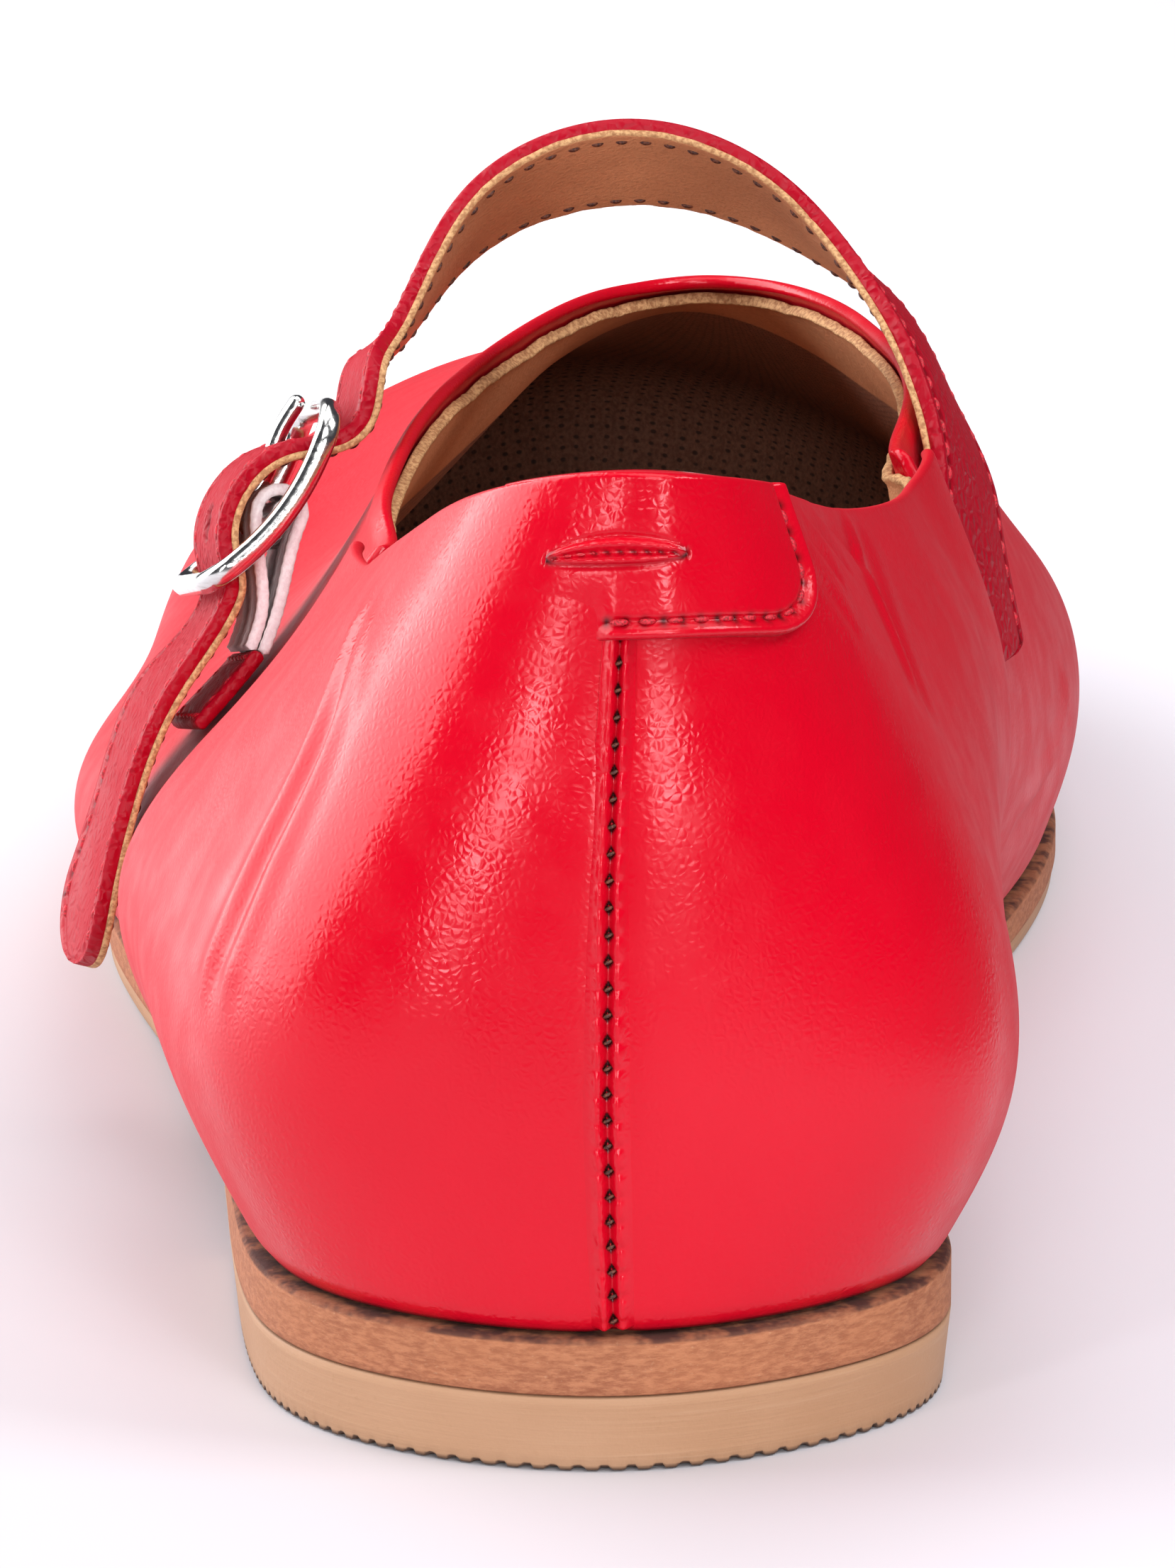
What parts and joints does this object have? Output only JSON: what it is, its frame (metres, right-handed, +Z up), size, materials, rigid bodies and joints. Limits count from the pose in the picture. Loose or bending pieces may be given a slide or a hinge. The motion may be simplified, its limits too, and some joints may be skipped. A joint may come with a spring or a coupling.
{
  "type": "mary jane flat shoe",
  "caption": "Flat leather Mary Jane shoe, left foot, with an instep strap and buckle over an open throat, on a thin sole with a low block heel.",
  "frame": {"origin": "middle of the shoe's length and width, on the floor", "axes": "+Y from heel to toe, +X towards the medial side, the buckle is on the -X side, +Z up"},
  "size_m": [0.088, 0.2568, 0.079],
  "materials": {
    "red_leather": "smooth satin",
    "insole_leather": "matte lining",
    "sole_rubber": "matte",
    "midsole_board": "raw fibrous edge",
    "elastic": "ribbed woven elastic",
    "buckle_metal": "polished"
  },
  "bodies": {
    "root": {"heel": "sole_rubber", "outsole": "sole_rubber", "midsole": "midsole_board", "insole": "insole_leather", "upper": "red_leather", "heel_tab": "red_leather", "strap": "red_leather", "strap_anchor": "red_leather", "elastic_loop": "elastic", "buckle_frame": "buckle_metal", "buckle_prong": "buckle_metal"}
  },
  "joints": []
}
